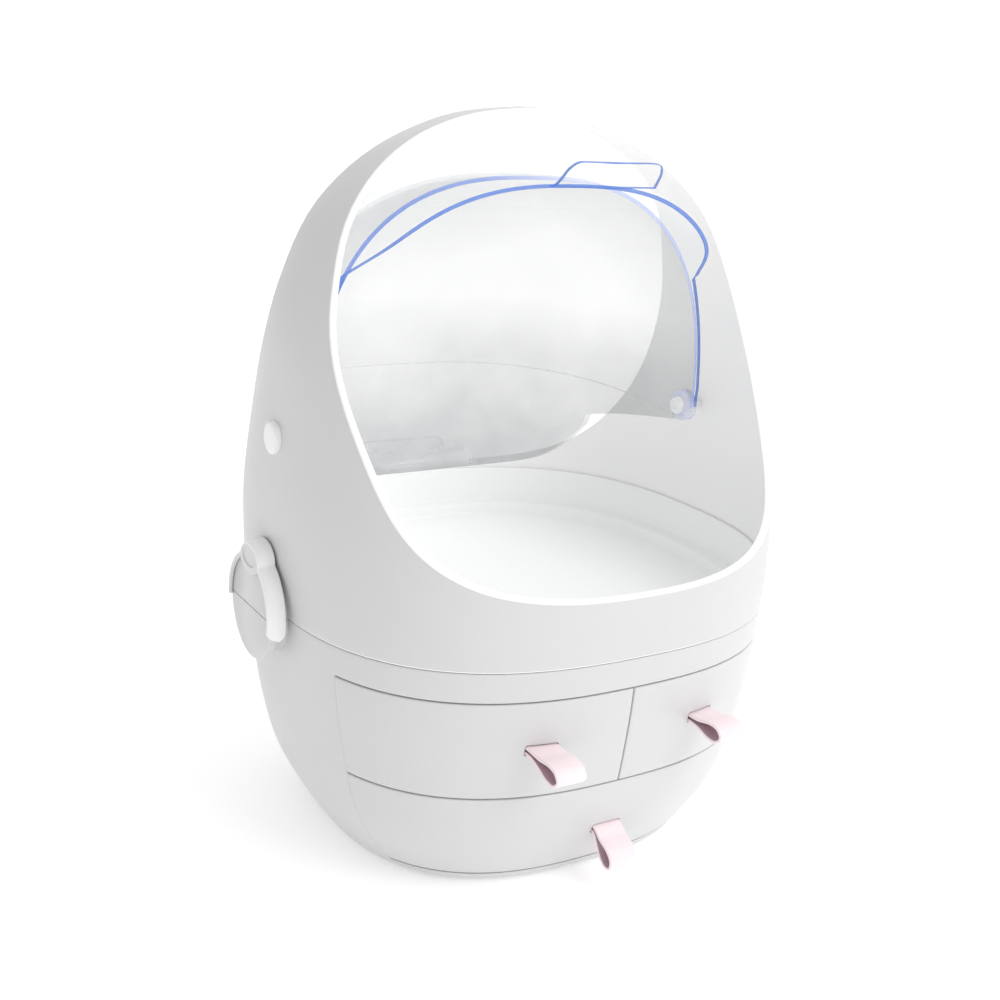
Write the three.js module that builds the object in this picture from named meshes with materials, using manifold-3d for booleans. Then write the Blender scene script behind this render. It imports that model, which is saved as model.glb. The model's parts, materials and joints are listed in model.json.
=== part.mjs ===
// Egg-shaped countertop makeup organizer with two clear rotating covers and three drawers.
// Millimetres, +Z up, the front faces -Y. The pieces are made about the egg's own upright axis, and the
// whole is then moved so that the origin is at the middle of its box, on the resting plane.
import * as THREE from "three";
import { mergeVertices } from "three/addons/utils/BufferGeometryUtils.js";
import Module from "manifold-3d";

const wasm = await Module();
wasm.setup();

// Driving dimensions of the egg
const egg_width = 270;
const egg_depth = 263;
const egg_height = 377;
const shell_wall = 3;
const fit_gap = 0.3;
const running_gap = 0.6;
const overrun = 20;
const seam_height = 128;
const foot_height = 2;

// The egg's outline: half width as a share of half the width, at a share of the height
const outline_shares = [
  [0.735, 0], [0.88, 0.095], [0.96, 0.238], [0.99, 0.38], [1, 0.476], [0.982, 0.58],
  [0.958, 0.685], [0.905, 0.775], [0.79, 0.868], [0.585, 0.938], [0.3, 0.984], [0, 1],
];
// The cross-section is a superellipse, squarer low down than at the top
const low_squareness = 2.6;
const top_squareness = 2;
const square_until_share = 0.38;
const round_from_share = 0.77;
const section_sides = 44;
const outline_steps = 18;

// Side openings' rims: distance from the axis plane over half the depth, height over the height
const front_rim_shares = [
  [0.066, 0.965], [0.15, 0.885], [0.219, 0.803], [0.322, 0.702], [0.515, 0.59],
  [0.7, 0.502], [0.875, 0.448], [1.06, 0.416],
];
const rear_rim_shares = [
  [0.09, 0.965], [0.125, 0.9], [0.185, 0.822], [0.265, 0.705], [0.4, 0.59],
  [0.62, 0.492], [0.84, 0.434], [1.06, 0.412],
];

// Rotating covers on one pivot axis
const pivot_height = 216;
const cover_radius = 136;
const cover_half_width = 121;
const cover_squareness = 2.6;
const cover_wall = 2;
const rear_cover_drop = 8;
const cover_side_gap = 3;
const cover_boss_radius = 9;
const front_lead_angle = 22;
const front_trail_angle = -86;
const front_arm_angle = 0;
const rear_lead_angle = -117;
const rear_trail_angle = 3;
const rear_arm_angle = -99;
const shoulder_start = 68;
const rear_shoulder_start = 72;
const shoulder_end = 104;
const cover_steps = 40;
const cover_profile_steps = 16;
const tab_width = 60;
const tab_length = 12;
const tab_offset = 17;
const rear_tab_width = 54;
const rear_tab_length = 17;

// Pivots
const pin_radius = 3;
const pin_head_radius = 5;
const pin_head_height = 3;
const pivot_cap_radius = 8;
const pivot_cap_height = 3;
const wall_collar_radius = 8;

// Hubs with their turning lock clips
const hub_offset = 6;
const hub_radius = 27;
const hub_neck_radius = 24;
const hub_face = 10.2;
const hub_head = 4;
const clip_radius = 30;
const clip_lap = 1.7;
const clip_face_thickness = 1.4;
const clip_start_angle = -5;
const clip_end_angle = 199;
const ear_half_length = 13;
const ear_half_height = 8.8;
const ear_place = 27;
const ear_lead = 2;
const ear_margin = 4;
const ear_recess_depth = 0.7;

// Tray
const tray_rim_height = 153;
const tray_ledge_height = 132;
const tray_floor_height = 124.5;
const tray_wall = 2;
const tray_floor = 2.4;
const tray_ledge_width = 8;

// Drawers and cabinet
const drawer_face = -58;
const drawer_top = 113;
const drawer_split = 60;
const drawer_bottom = 6;
const front_gap = 0.8;
const front_wall = 2.6;
const panel_wall = 2.4;
const tub_wall = 2;
const tub_depth = 130;
const lower_tub_width = 160;
const upper_tub_side = 100;
const tub_corner = 8;
const deck_thickness = 2.6;

// Base
const base_plate_thickness = 2.6;
const foot_radius = 8;

// Strap pulls
const strap_width = 16;
const strap_thickness = 1.6;
const strap_loop_height = 10;
const strap_reach = 24;
const lower_strap_reach = 21;
const upper_pull_place = 47;
const upper_pull_height = 87;
const lower_pull_height = 31;
const left_pull_tilt = 9;
const right_pull_tilt = 1;
const lower_pull_tilt = 41;

const deg = Math.PI / 180;
const half_width = egg_width / 2;
const depth_ratio = egg_depth / egg_width;
const half_depth = egg_depth / 2;

// Solids
function solidOf(geometry) {
  const bare = geometry.index ? geometry.toNonIndexed() : geometry.clone();
  for (const name of Object.keys(bare.attributes)) {
    if (name !== "position") bare.deleteAttribute(name);
  }
  const merged = mergeVertices(bare, fit_gap / 1000);
  const mesh = new wasm.Mesh({
    numProp: 3,
    vertProperties: new Float32Array(merged.attributes.position.array),
    triVerts: new Uint32Array(merged.index.array),
  });
  return new wasm.Manifold(mesh);
}

function geometryOf(solid) {
  const mesh = solid.getMesh();
  const geometry = new THREE.BufferGeometry();
  geometry.setAttribute("position", new THREE.BufferAttribute(new Float32Array(mesh.vertProperties), 3));
  geometry.setIndex(new THREE.BufferAttribute(new Uint32Array(mesh.triVerts), 1));
  geometry.computeVertexNormals();
  return geometry;
}

const root = new THREE.Group();
const finishes = {
  shell: { color: 0xf1f1f1, roughness: 0.42, metalness: 0 },
  clear: { color: 0xdfe9fb, roughness: 0.06, metalness: 0, transparent: true, opacity: 0.3 },
  strap: { color: 0xf6dfe6, roughness: 0.7, metalness: 0 },
  rubber: { color: 0xc9c9c9, roughness: 0.85, metalness: 0 },
  steel: { color: 0xb9bcc0, roughness: 0.3, metalness: 1 },
};

function place(name, solid, finish, parent = root) {
  const mesh = new THREE.Mesh(geometryOf(solid), new THREE.MeshStandardMaterial(finishes[finish]));
  mesh.name = name;
  parent.add(mesh);
  return mesh;
}

function box(low, high) {
  const size = high.map((value, axis) => value - low[axis]);
  const shape = new THREE.BoxGeometry(...size);
  shape.translate(...high.map((value, axis) => (value + low[axis]) / 2));
  return solidOf(shape);
}

// A cylinder along an axis letter, from one coordinate to another, about a point of the other two
function cylinder(axis, radius, from, to, across, up, sides = 20) {
  const shape = new THREE.CylinderGeometry(radius, radius, to - from, sides);
  shape.translate(0, (from + to) / 2, 0);
  if (axis === "x") {
    shape.rotateZ(-Math.PI / 2);
    shape.translate(0, across, up);
  } else if (axis === "y") {
    shape.translate(across, 0, up);
  } else {
    shape.rotateX(Math.PI / 2);
    shape.translate(across, up, 0);
  }
  return solidOf(shape);
}

// An outline in (Y, Z), extruded along X between two places
function sideExtrude(points, from, to, holes = []) {
  const outline = new THREE.Shape(points.map(([y, z]) => new THREE.Vector2(y, z)));
  for (const hole of holes) outline.holes.push(new THREE.Path(hole.map(([y, z]) => new THREE.Vector2(y, z))));
  const shape = new THREE.ExtrudeGeometry(outline, { depth: to - from, bevelEnabled: false });
  shape.applyMatrix4(new THREE.Matrix4().set(0, 0, 1, from, 1, 0, 0, 0, 0, 1, 0, 0, 0, 0, 0, 1));
  return solidOf(shape);
}

function roundedRect(low, high, radius) {
  const [x0, y0] = low;
  const [x1, y1] = high;
  const shape = new THREE.Shape();
  shape.moveTo(x0 + radius, y0);
  shape.lineTo(x1 - radius, y0);
  shape.absarc(x1 - radius, y0 + radius, radius, -Math.PI / 2, 0);
  shape.lineTo(x1, y1 - radius);
  shape.absarc(x1 - radius, y1 - radius, radius, 0, Math.PI / 2);
  shape.lineTo(x0 + radius, y1);
  shape.absarc(x0 + radius, y1 - radius, radius, Math.PI / 2, Math.PI);
  shape.lineTo(x0, y0 + radius);
  shape.absarc(x0 + radius, y0 + radius, radius, Math.PI, Math.PI * 1.5);
  return shape;
}

function roundedBlock(low, high, radius, steps = 3) {
  const depth = high[2] - low[2];
  const shape = roundedRect(low, high, radius);
  const block = new THREE.ExtrudeGeometry(shape, { depth, bevelEnabled: false, curveSegments: steps });
  block.translate(0, 0, low[2]);
  return solidOf(block);
}

// The egg
const outline_curve = new THREE.SplineCurve(
  outline_shares.map(([wide, high]) => new THREE.Vector2(wide * half_width, high * egg_height)),
);

function squareness(height) {
  const share = (height / egg_height - square_until_share) / (round_from_share - square_until_share);
  return THREE.MathUtils.lerp(low_squareness, top_squareness, THREE.MathUtils.clamp(share, 0, 1));
}

function signedPower(value, power) {
  return Math.sign(value) * Math.abs(value) ** power;
}

// The outline moved inwards by an inset, as rings of half width, half depth and height
function eggRings(inset) {
  const rings = [];
  for (let step = 0; step <= outline_steps; step++) {
    const share = step / outline_steps;
    const point = outline_curve.getPoint(share);
    const tangent = outline_curve.getTangent(share);
    const wide = point.x - inset * tangent.y;
    const high = point.y + inset * tangent.x;
    const last = step === outline_steps;
    rings.push({ wide: last ? 0 : wide, deep: last ? 0 : depth_ratio * point.x - inset * tangent.y,
      high: last ? egg_height - inset : high, square: squareness(high) });
  }
  const base = rings[0];
  rings.unshift({ ...base, high: base.high - overrun });
  return rings.filter((ring, index) => index === rings.length - 1 || ring.wide > inset);
}

function ringSolid(rings) {
  const positions = [];
  const faces = [];
  for (const ring of rings) {
    for (let side = 0; side < section_sides; side++) {
      const angle = (side / section_sides) * Math.PI * 2;
      const power = 2 / ring.square;
      positions.push(ring.wide * signedPower(Math.cos(angle), power));
      positions.push(ring.deep * signedPower(Math.sin(angle), power), ring.high);
    }
  }
  const bottom = positions.length / 3;
  positions.push(0, 0, rings[0].high, 0, 0, rings.at(-1).high);
  for (let side = 0; side < section_sides; side++) {
    const next = (side + 1) % section_sides;
    faces.push(bottom, next, side);
    for (let level = 0; level + 1 < rings.length; level++) {
      const low = level * section_sides;
      const high = low + section_sides;
      if (level + 2 === rings.length && rings[level + 1].wide === 0) {
        faces.push(low + side, low + next, bottom + 1);
      } else {
        faces.push(low + side, low + next, high + next, low + side, high + next, high + side);
      }
    }
    if (rings.at(-1).wide > 0) {
      const top = (rings.length - 1) * section_sides;
      faces.push(top + side, top + next, bottom + 1);
    }
  }
  const used = rings.at(-1).wide > 0 ? positions : positions.filter((value, index) => {
    const vertex = Math.floor(index / 3);
    return vertex < (rings.length - 1) * section_sides || vertex >= bottom;
  });
  const shift = rings.at(-1).wide > 0 ? 0 : section_sides;
  const renumbered = faces.map((vertex) => (vertex >= bottom ? vertex - shift : vertex));
  return new wasm.Manifold(new wasm.Mesh({
    numProp: 3, vertProperties: new Float32Array(used), triVerts: new Uint32Array(renumbered),
  }));
}

const egg_cache = new Map();
function egg(inset) {
  if (!egg_cache.has(inset)) egg_cache.set(inset, ringSolid(eggRings(inset)));
  return egg_cache.get(inset);
}

const reach = half_width + overrun;
function slab(low, high) {
  return box([-reach, -reach, low], [reach, reach, high]);
}

function eggSlab(inset, low, high) {
  return egg(inset).intersect(slab(low, high));
}

// Half width and half depth of the egg's section at a height
function eggWidthAt(height) {
  const rings = eggRings(0);
  const index = rings.findIndex((ring) => ring.high > height);
  const low = rings[index - 1];
  const high = rings[index];
  return THREE.MathUtils.mapLinear(height, low.high, high.high, low.wide, high.wide);
}

// How far forward the egg's surface lies at a place across and a height
function eggDepthAt(across, height) {
  const wide = eggWidthAt(height);
  const square = squareness(height);
  return depth_ratio * wide * (1 - Math.abs(across / wide) ** square) ** (1 / square);
}

// Side opening cut through the dome along X; side is -1 for the front and 1 for the rear
function openingCut(shares, side) {
  const curve = new THREE.SplineCurve(
    shares.map(([out, high]) => new THREE.Vector2(side * out * half_depth, high * egg_height)),
  );
  const rim = curve.getPoints(shares.length * 3).map((point) => [point.x, point.y]);
  const outside = side * (half_depth + overrun);
  const above = egg_height + overrun;
  const points = [[rim[0][0], above], ...rim, [outside, rim.at(-1)[1]], [outside, above]];
  return sideExtrude(side < 0 ? points : points.reverse(), -reach, reach);
}

// Hub halves and lock clips on both sides
const hub_height = seam_height;
const hub_root = eggWidthAt(hub_height) - shell_wall;
const side_face = eggWidthAt(seam_height) + hub_face;
const hub_head_root = side_face - hub_head;
const seam_gap = fit_gap / 2;

function hub(side) {
  const neck = cylinder("x", hub_neck_radius, hub_root, hub_head_root + seam_gap, hub_offset, hub_height, 40);
  const head = cylinder("x", hub_radius, hub_head_root, side_face, hub_offset, hub_height, 40);
  const whole = neck.add(head).subtract(egg(shell_wall));
  return side > 0 ? whole : whole.mirror([1, 0, 0]);
}

const hubs = hub(1).add(hub(-1));
const above_seam = slab(seam_height + seam_gap, egg_height + overrun);

// Pivot parts: collars on the wall, the pin, its outer cap and its inner head
const pivot_wall = eggWidthAt(pivot_height);
const cover_outer_face = cover_half_width;
const collar_face = cover_outer_face + running_gap;

function pivotCollar(side) {
  const collar = cylinder("x", wall_collar_radius, collar_face, pivot_wall - shell_wall / 2, 0, pivot_height);
  return side > 0 ? collar : collar.mirror([1, 0, 0]);
}

// Upper shell
function upperShell() {
  const skin = egg(0).subtract(egg(shell_wall));
  const bored = skin.add(pivotCollar(1)).add(pivotCollar(-1)).add(hubs)
    .subtract(cylinder("x", pin_radius + fit_gap, -reach, reach, 0, pivot_height));
  const openings = openingCut(front_rim_shares, -1).add(openingCut(rear_rim_shares, 1));
  return bored.intersect(above_seam).subtract(openings);
}
place("upper_shell", upperShell(), "shell");

// Lower body: skin behind the drawer fronts, band above them, hub halves and the deck plate
const body_bottom = foot_height;
const deck_top = tray_floor_height - tray_floor - fit_gap;
const deck_bottom = deck_top - deck_thickness;
function lowerBody() {
  const skin = egg(0).subtract(egg(shell_wall));
  const drawer_zone = box([-reach, -reach, drawer_bottom], [reach, drawer_face, drawer_top]);
  const deck = eggSlab(shell_wall - seam_gap, deck_bottom, deck_top);
  return skin.add(hubs).intersect(slab(body_bottom, seam_height - seam_gap)).subtract(drawer_zone).add(deck);
}
place("lower_body", lowerBody(), "shell");

// Tray: outer wall, ledge and sunken floor
function tray() {
  const outside = shell_wall + fit_gap;
  const block = eggSlab(outside, tray_floor_height - tray_floor, tray_rim_height);
  const mouth = eggSlab(outside + tray_wall, tray_ledge_height, tray_rim_height + overrun);
  const basin = eggSlab(outside + tray_wall + tray_ledge_width, tray_floor_height, tray_ledge_height + overrun);
  return block.subtract(mouth).subtract(basin);
}
place("tray", tray(), "shell");

// Cabinet inside the lower body: face frame, shelf, divider
const frame_back = drawer_face + panel_wall + fit_gap;
const inside_inset = shell_wall + fit_gap;
const shelf_top = drawer_split + panel_wall / 2;
const shelf_bottom = shelf_top - panel_wall;
const lower_tub_floor = drawer_bottom + fit_gap;
const lower_tub_top = shelf_bottom - running_gap * 2;
const upper_tub_floor = shelf_top + fit_gap;
const upper_tub_top = drawer_top - front_gap * 2;
const divider_half = panel_wall / 2;
const upper_tub_inner = divider_half + running_gap;
const tub_front = drawer_face + fit_gap;

function faceFrame() {
  const plate = egg(inside_inset).intersect(
    box([-reach, drawer_face + fit_gap, drawer_bottom], [reach, frame_back, deck_bottom - fit_gap]),
  );
  const around = running_gap;
  const lower_hole = box(
    [-lower_tub_width / 2 - around, drawer_face - overrun, lower_tub_floor - overrun],
    [lower_tub_width / 2 + around, frame_back + overrun, lower_tub_top + around],
  );
  const upper_hole = box(
    [upper_tub_inner - around, drawer_face - overrun, shelf_top],
    [upper_tub_inner + upper_tub_side + around, frame_back + overrun, upper_tub_top + around],
  );
  return plate.subtract(lower_hole).subtract(upper_hole).subtract(upper_hole.mirror([1, 0, 0]));
}
place("face_frame", faceFrame(), "shell");

const cabinet_back = drawer_face + tub_depth + running_gap * 4;
function cabinetShelf() {
  return egg(inside_inset).intersect(
    box([-reach, frame_back + fit_gap, shelf_bottom], [reach, cabinet_back, shelf_top]),
  );
}
place("cabinet_shelf", cabinetShelf(), "shell");
place("cabinet_divider", box(
  [-divider_half, frame_back + fit_gap, shelf_top + fit_gap],
  [divider_half, cabinet_back, deck_bottom - fit_gap],
), "shell");

// Runners beside the lower drawer, standing on the base plate
const plate_top = lower_tub_floor - fit_gap;
const plate_bottom = plate_top - base_plate_thickness;
function runner(side) {
  const inner = lower_tub_width / 2 + running_gap;
  const bar = box(
    [inner, frame_back + fit_gap, plate_top + fit_gap],
    [inner + panel_wall * 2, cabinet_back - tub_depth / 2, plate_top + panel_wall * 4],
  );
  return (side > 0 ? bar : bar.mirror([1, 0, 0])).intersect(egg(inside_inset));
}
place("drawer_runner_left", runner(-1), "shell");
place("drawer_runner_right", runner(1), "shell");

// Drawer fronts are pieces of the egg's skin ahead of the drawer face, open at the back
function drawerFront(low, high) {
  const zone = box([low[0], -reach, low[1]], [high[0], drawer_face, high[1]]);
  const hollow = box(
    [low[0] + front_wall, -reach, low[1] + front_wall],
    [high[0] - front_wall, drawer_face + overrun, high[1] - front_wall],
  );
  const bulge = egg(front_wall).intersect(hollow);
  return egg(0).intersect(zone).subtract(bulge);
}

const lower_front_low = drawer_bottom + front_gap;
const lower_front_high = drawer_split - front_gap / 2;
const upper_front_low = drawer_split + front_gap / 2;
const upper_front_high = drawer_top - front_gap;
const slot_half = strap_width / 2 + fit_gap;

// The skin curves back across a strap's width: its foremost and rearmost places there
const end_half_width = strap_width / 2 + strap_thickness * 2;
function strapSpan(across, height) {
  const fore = Math.max(Math.abs(across) - strap_width / 2, 0);
  const span = strap_thickness * 4;
  const rear = Math.min(...[-span, span].map((up) => eggDepthAt(Math.abs(across) + end_half_width, height + up)));
  return { fore: -eggDepthAt(fore, height) - running_gap, rear: -rear + front_wall + fit_gap };
}

// Each pull's slot in its drawer front, with the strap's loop hanging from it
function pullSlot(across, height) {
  const half_height = strap_thickness * 1.5 + running_gap;
  const { fore, rear } = strapSpan(across, height);
  return box(
    [across - slot_half, fore - overrun, height - half_height],
    [across + slot_half, rear + overrun, height + half_height],
  );
}

// The strap's loop in (Y, Z): out of the slot, over, round the tip and back, tilted down about the slot
function strapLoop(across, height, tilt, loop_reach) {
  const { fore, rear } = strapSpan(across, height);
  const root_place = rear + strap_thickness;
  const half_gap = strap_thickness / 2 + running_gap;
  const half_loop = (strap_loop_height - strap_thickness) / 2;
  const lead = Math.cos(tilt * deg);
  const sink = Math.sin(tilt * deg);
  const run = [
    [0.3, 0.5], [0.62, 0.95], [0.87, 0.85], [1, 0], [0.87, -0.85], [0.6, -0.92], [0.3, -0.5],
  ].map(([out, up]) => [out * loop_reach, up * half_loop]).map(([out, up]) => (
    new THREE.Vector2(fore - out * lead - up * sink, height + up * lead - out * sink)
  ));
  const curve = new THREE.SplineCurve([
    new THREE.Vector2(root_place, height + half_gap), new THREE.Vector2(fore, height + half_gap), ...run,
    new THREE.Vector2(fore, height - half_gap), new THREE.Vector2(root_place, height - half_gap),
  ]);
  const steps = 30;
  const outer = [];
  const inner = [];
  for (let step = 0; step <= steps; step++) {
    const point = curve.getPoint(step / steps);
    const tangent = curve.getTangent(step / steps);
    const shift = strap_thickness / 2;
    outer.push([point.x + tangent.y * shift, point.y - tangent.x * shift]);
    inner.push([point.x - tangent.y * shift, point.y + tangent.x * shift]);
  }
  const band = sideExtrude([...outer, ...inner.reverse()], across - strap_width / 2, across + strap_width / 2);
  const end_half = strap_thickness * 2;
  const stitched_end = box(
    [across - end_half_width, rear, height - end_half],
    [across + end_half_width, rear + strap_thickness * 2, height + end_half],
  );
  return band.add(stitched_end);
}

// A tub's far corners follow the body's wall where the tub is deep enough to meet it
const tub_inset = shell_wall + running_gap;
const tub_room = egg(tub_inset);
const tub_hollow_room = egg(tub_inset + tub_wall);
function tub(low, high) {
  const tub_back = tub_front + tub_depth;
  const block = roundedBlock([low[0], tub_front, low[1]], [high[0], tub_back, high[1]], tub_corner);
  const inside = roundedBlock(
    [low[0] + tub_wall, tub_front + tub_wall, low[1] + tub_wall],
    [high[0] - tub_wall, tub_back - tub_wall, high[1] + overrun],
    tub_corner - tub_wall,
  );
  return block.intersect(tub_room).subtract(inside.intersect(tub_hollow_room));
}

const drawers = [
  { name: "upper_left", low: -reach, high: -front_gap / 2, bottom: upper_front_low, top: upper_front_high,
    tub: [-upper_tub_inner - upper_tub_side, -upper_tub_inner], floor: upper_tub_floor, rim: upper_tub_top,
    pull: -upper_pull_place, pull_height: upper_pull_height, tilt: left_pull_tilt, reach: strap_reach },
  { name: "upper_right", low: front_gap / 2, high: reach, bottom: upper_front_low, top: upper_front_high,
    tub: [upper_tub_inner, upper_tub_inner + upper_tub_side], floor: upper_tub_floor, rim: upper_tub_top,
    pull: upper_pull_place, pull_height: upper_pull_height, tilt: right_pull_tilt, reach: strap_reach },
  { name: "lower", low: -reach, high: reach, bottom: lower_front_low, top: lower_front_high,
    tub: [-lower_tub_width / 2, lower_tub_width / 2], floor: lower_tub_floor, rim: lower_tub_top,
    pull: 0, pull_height: lower_pull_height, tilt: lower_pull_tilt, reach: lower_strap_reach },
];
for (const drawer of drawers) {
  const front = drawerFront([drawer.low, drawer.bottom], [drawer.high, drawer.top]);
  place(`drawer_front_${drawer.name}`, front.subtract(pullSlot(drawer.pull, drawer.pull_height)), "shell");
  place(`drawer_tub_${drawer.name}`, tub([drawer.tub[0], drawer.floor], [drawer.tub[1], drawer.rim]), "shell");
  place(
    `pull_${drawer.name}`, strapLoop(drawer.pull, drawer.pull_height, drawer.tilt, drawer.reach), "strap",
  );
}

// Base plate and feet
const body_base = egg(inside_inset).intersect(slab(plate_bottom, plate_top));
const foot_out = half_width / 2;
place("base_plate", body_base, "shell");
[[-1, -1], [1, -1], [-1, 1], [1, 1]].forEach(([across, back], index) => {
  const foot = cylinder("z", foot_radius, 0, plate_bottom - fit_gap, across * foot_out, back * foot_out, 20);
  place(`foot_${index + 1}`, foot, "rubber");
});

// Covers: shells of revolution about the pivot axis, cut to their side outlines
function coverShell(radius, half_span) {
  const profile = [];
  for (let step = 0; step <= cover_profile_steps; step++) {
    const angle = (step / cover_profile_steps) * Math.PI;
    const power = 2 / cover_squareness;
    const out = step % cover_profile_steps === 0 ? 0 : radius * Math.sin(angle) ** power;
    profile.push(new THREE.Vector2(out, -half_span * signedPower(Math.cos(angle), power)));
  }
  const shape = new THREE.LatheGeometry(profile, cover_steps);
  shape.rotateZ(-Math.PI / 2);
  shape.translate(0, 0, pivot_height);
  return solidOf(shape);
}

// A point in (Y, Z) at a distance from the pivot and an angle forward of vertical
function polar(radius, angle) {
  return [-radius * Math.sin(angle * deg), pivot_height + radius * Math.cos(angle * deg)];
}

// A cover's outline in (Y, Z): turn is 1 where its leading edge faces forward, -1 where it faces back.
// The leading edge runs beside the arm, swells out at the shoulder and follows the leading angle.
function coverOutline(lead, trail, arm, start, turn) {
  const far = (cover_radius + overrun) * 2;
  const beside = (out, ahead) => {
    const [y, z] = polar(out, arm);
    return new THREE.Vector2(y - ahead * turn * Math.cos(arm * deg), z - ahead * turn * Math.sin(arm * deg));
  };
  const swell = (start + shoulder_end) / 2 - cover_boss_radius;
  const shoulder = new THREE.SplineCurve([
    beside(0, cover_boss_radius), beside(start, cover_boss_radius),
    beside(swell, cover_boss_radius * 1.6), new THREE.Vector2(...polar(shoulder_end, lead)),
  ]);
  const edge = shoulder.getPoints(10).map((point) => [point.x, point.y]);
  const middle = (lead + trail) / 2;
  const outline = [...edge, polar(far, lead), polar(far, middle), polar(far, trail),
    polar(cover_boss_radius, trail - turn * 90)];
  return turn > 0 ? outline : outline.reverse();
}

// A finger tab: a plate with rounded top corners, standing up from the origin, thick along Y
function tabPlate(width, low, high) {
  const radius = tab_length / 3;
  const shape = roundedRect([-width / 2, low - radius * 2], [width / 2, high], radius);
  const plate = new THREE.ExtrudeGeometry(shape, { depth: cover_wall, bevelEnabled: false, curveSegments: 4 });
  plate.rotateX(Math.PI / 2);
  plate.translate(0, cover_wall / 2, 0);
  return solidOf(plate);
}

function coverSheet(radius, half_span, outline) {
  const inner = coverShell(radius - cover_wall, half_span - cover_wall);
  const sheet = coverShell(radius, half_span).subtract(inner)
    .intersect(sideExtrude(outline, -reach, reach));
  const boss = cylinder("x", cover_boss_radius, half_span - cover_wall * 1.5, half_span, 0, pivot_height);
  return { sheet: sheet.add(boss).add(boss.mirror([1, 0, 0])), inner };
}
const pin_hole = cylinder("x", pin_radius + fit_gap, -reach, reach, 0, pivot_height);

function frontCover() {
  const outline = coverOutline(front_lead_angle, front_trail_angle, front_arm_angle, shoulder_start, 1);
  const { sheet, inner } = coverSheet(cover_radius, cover_half_width, outline);
  const tab = tabPlate(tab_width, cover_radius - tab_length / 2, cover_radius + tab_length)
    .translate([tab_offset, cover_wall / 2, 0])
    .rotate([front_lead_angle, 0, 0])
    .translate([0, 0, pivot_height]);
  return sheet.add(tab.subtract(inner)).subtract(pin_hole);
}
place("front_cover", frontCover(), "clear");

const rear_cover_radius = cover_radius - rear_cover_drop;
const rear_cover_half = cover_half_width - cover_side_gap;
const rear_tab_lean = 8;
const rear_tab_step = 1.5;
function rearCover() {
  const outline = coverOutline(rear_lead_angle, rear_trail_angle, rear_arm_angle, rear_shoulder_start, -1);
  const { sheet, inner } = coverSheet(rear_cover_radius, rear_cover_half, outline);
  const tab = tabPlate(rear_tab_width, 0, rear_tab_length)
    .rotate([rear_lead_angle + 90 - rear_tab_lean, 0, 0])
    .translate([0, ...polar(rear_cover_radius - cover_wall / 2, rear_lead_angle + rear_tab_step)]);
  return sheet.add(tab.subtract(inner)).subtract(pin_hole);
}
place("rear_cover", rearCover(), "clear");

// Pivot pins with their inner heads, and the caps over them outside
const pin_head_face = rear_cover_half - cover_wall * 1.5 - running_gap;
function pivotPin(side) {
  const tip = pin_head_face - pin_head_height;
  const shaft = cylinder("x", pin_radius, tip, pivot_wall - fit_gap, 0, pivot_height);
  const head = cylinder("x", pin_head_radius, tip, pin_head_face, 0, pivot_height);
  const pin = shaft.add(head);
  return side > 0 ? pin : pin.mirror([1, 0, 0]);
}

function pivotCap(side) {
  const root_place = pivot_wall - shell_wall;
  const face = pivot_wall + pivot_cap_height;
  const cap = cylinder("x", pivot_cap_radius, root_place, face, 0, pivot_height, 32).subtract(egg(-fit_gap));
  return side > 0 ? cap : cap.mirror([1, 0, 0]);
}
const sides = [["left", -1], ["right", 1]];
for (const [word, side] of sides) {
  place(`pivot_pin_${word}`, pivotPin(side), "shell");
  place(`pivot_cap_${word}`, pivotCap(side), "shell");
}

// Lock clips: C-shaped rings turning on the hubs, with a thumb ear
const clip_back = half_width + running_gap;
const clip_lip = hub_head_root - fit_gap;
const clip_seat = side_face + fit_gap;
const clip_face = clip_seat + clip_face_thickness;
function lockClip(side) {
  const profile = [
    [hub_neck_radius + fit_gap, clip_back], [clip_radius, clip_back], [clip_radius, clip_face],
    [hub_radius - clip_lap, clip_face], [hub_radius - clip_lap, clip_seat], [hub_radius + fit_gap, clip_seat],
    [hub_radius + fit_gap, clip_lip], [hub_neck_radius + fit_gap, clip_lip],
    [hub_neck_radius + fit_gap, clip_back],
  ].map(([out, along]) => new THREE.Vector2(out, along));
  const lathe = new THREE.LatheGeometry(profile, 48);
  lathe.rotateZ(-Math.PI / 2);
  const ring = solidOf(lathe);
  const far = clip_radius * 4;
  const ray = (angle) => [far * Math.cos(angle * deg), far * Math.sin(angle * deg)];
  const span = clip_end_angle - clip_start_angle;
  const wedge = [[0, 0], ...[0, 1, 2, 3, 4].map((quarter) => ray(clip_start_angle + (span * quarter) / 4))];
  const arc = ring.intersect(sideExtrude(wedge, clip_back - overrun, clip_face + overrun));
  const head_room = cylinder("x", hub_radius + fit_gap, clip_back - overrun, clip_seat, 0, 0, 48);
  const ear = earOval(0, clip_back, clip_face).subtract(head_room);
  const recess = earOval(ear_margin, clip_face - ear_recess_depth, clip_face + overrun);
  const clip = arc.add(ear).subtract(recess).translate([0, hub_offset, hub_height]);
  return side > 0 ? clip : clip.mirror([1, 0, 0]);
}

// The oval thumb ear, moved inwards by a margin, between two places along X
function earOval(margin, low, high) {
  const turns = Array.from({ length: 36 }, (_, step) => (step * 2 * Math.PI) / 36);
  return sideExtrude(turns.map((turn) => [
    -ear_lead + (ear_half_length - margin) * Math.cos(turn),
    ear_place + (ear_half_height - margin) * Math.sin(turn),
  ]), low, high);
}
for (const [word, side] of sides) {
  place(`lock_clip_${word}`, lockClip(side), "shell");
}

// The pulls stand out at the front, so the middle of the whole box is ahead of the egg's axis
const whole = new THREE.Box3().setFromObject(root);
root.position.y = -(whole.min.y + whole.max.y) / 2;

export default root;
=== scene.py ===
import json
from math import acos, asin, atan2, cos, degrees, pi, radians, sin, sqrt

import bmesh
import bpy
import numpy as np
from mathutils import Matrix, Vector


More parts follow.
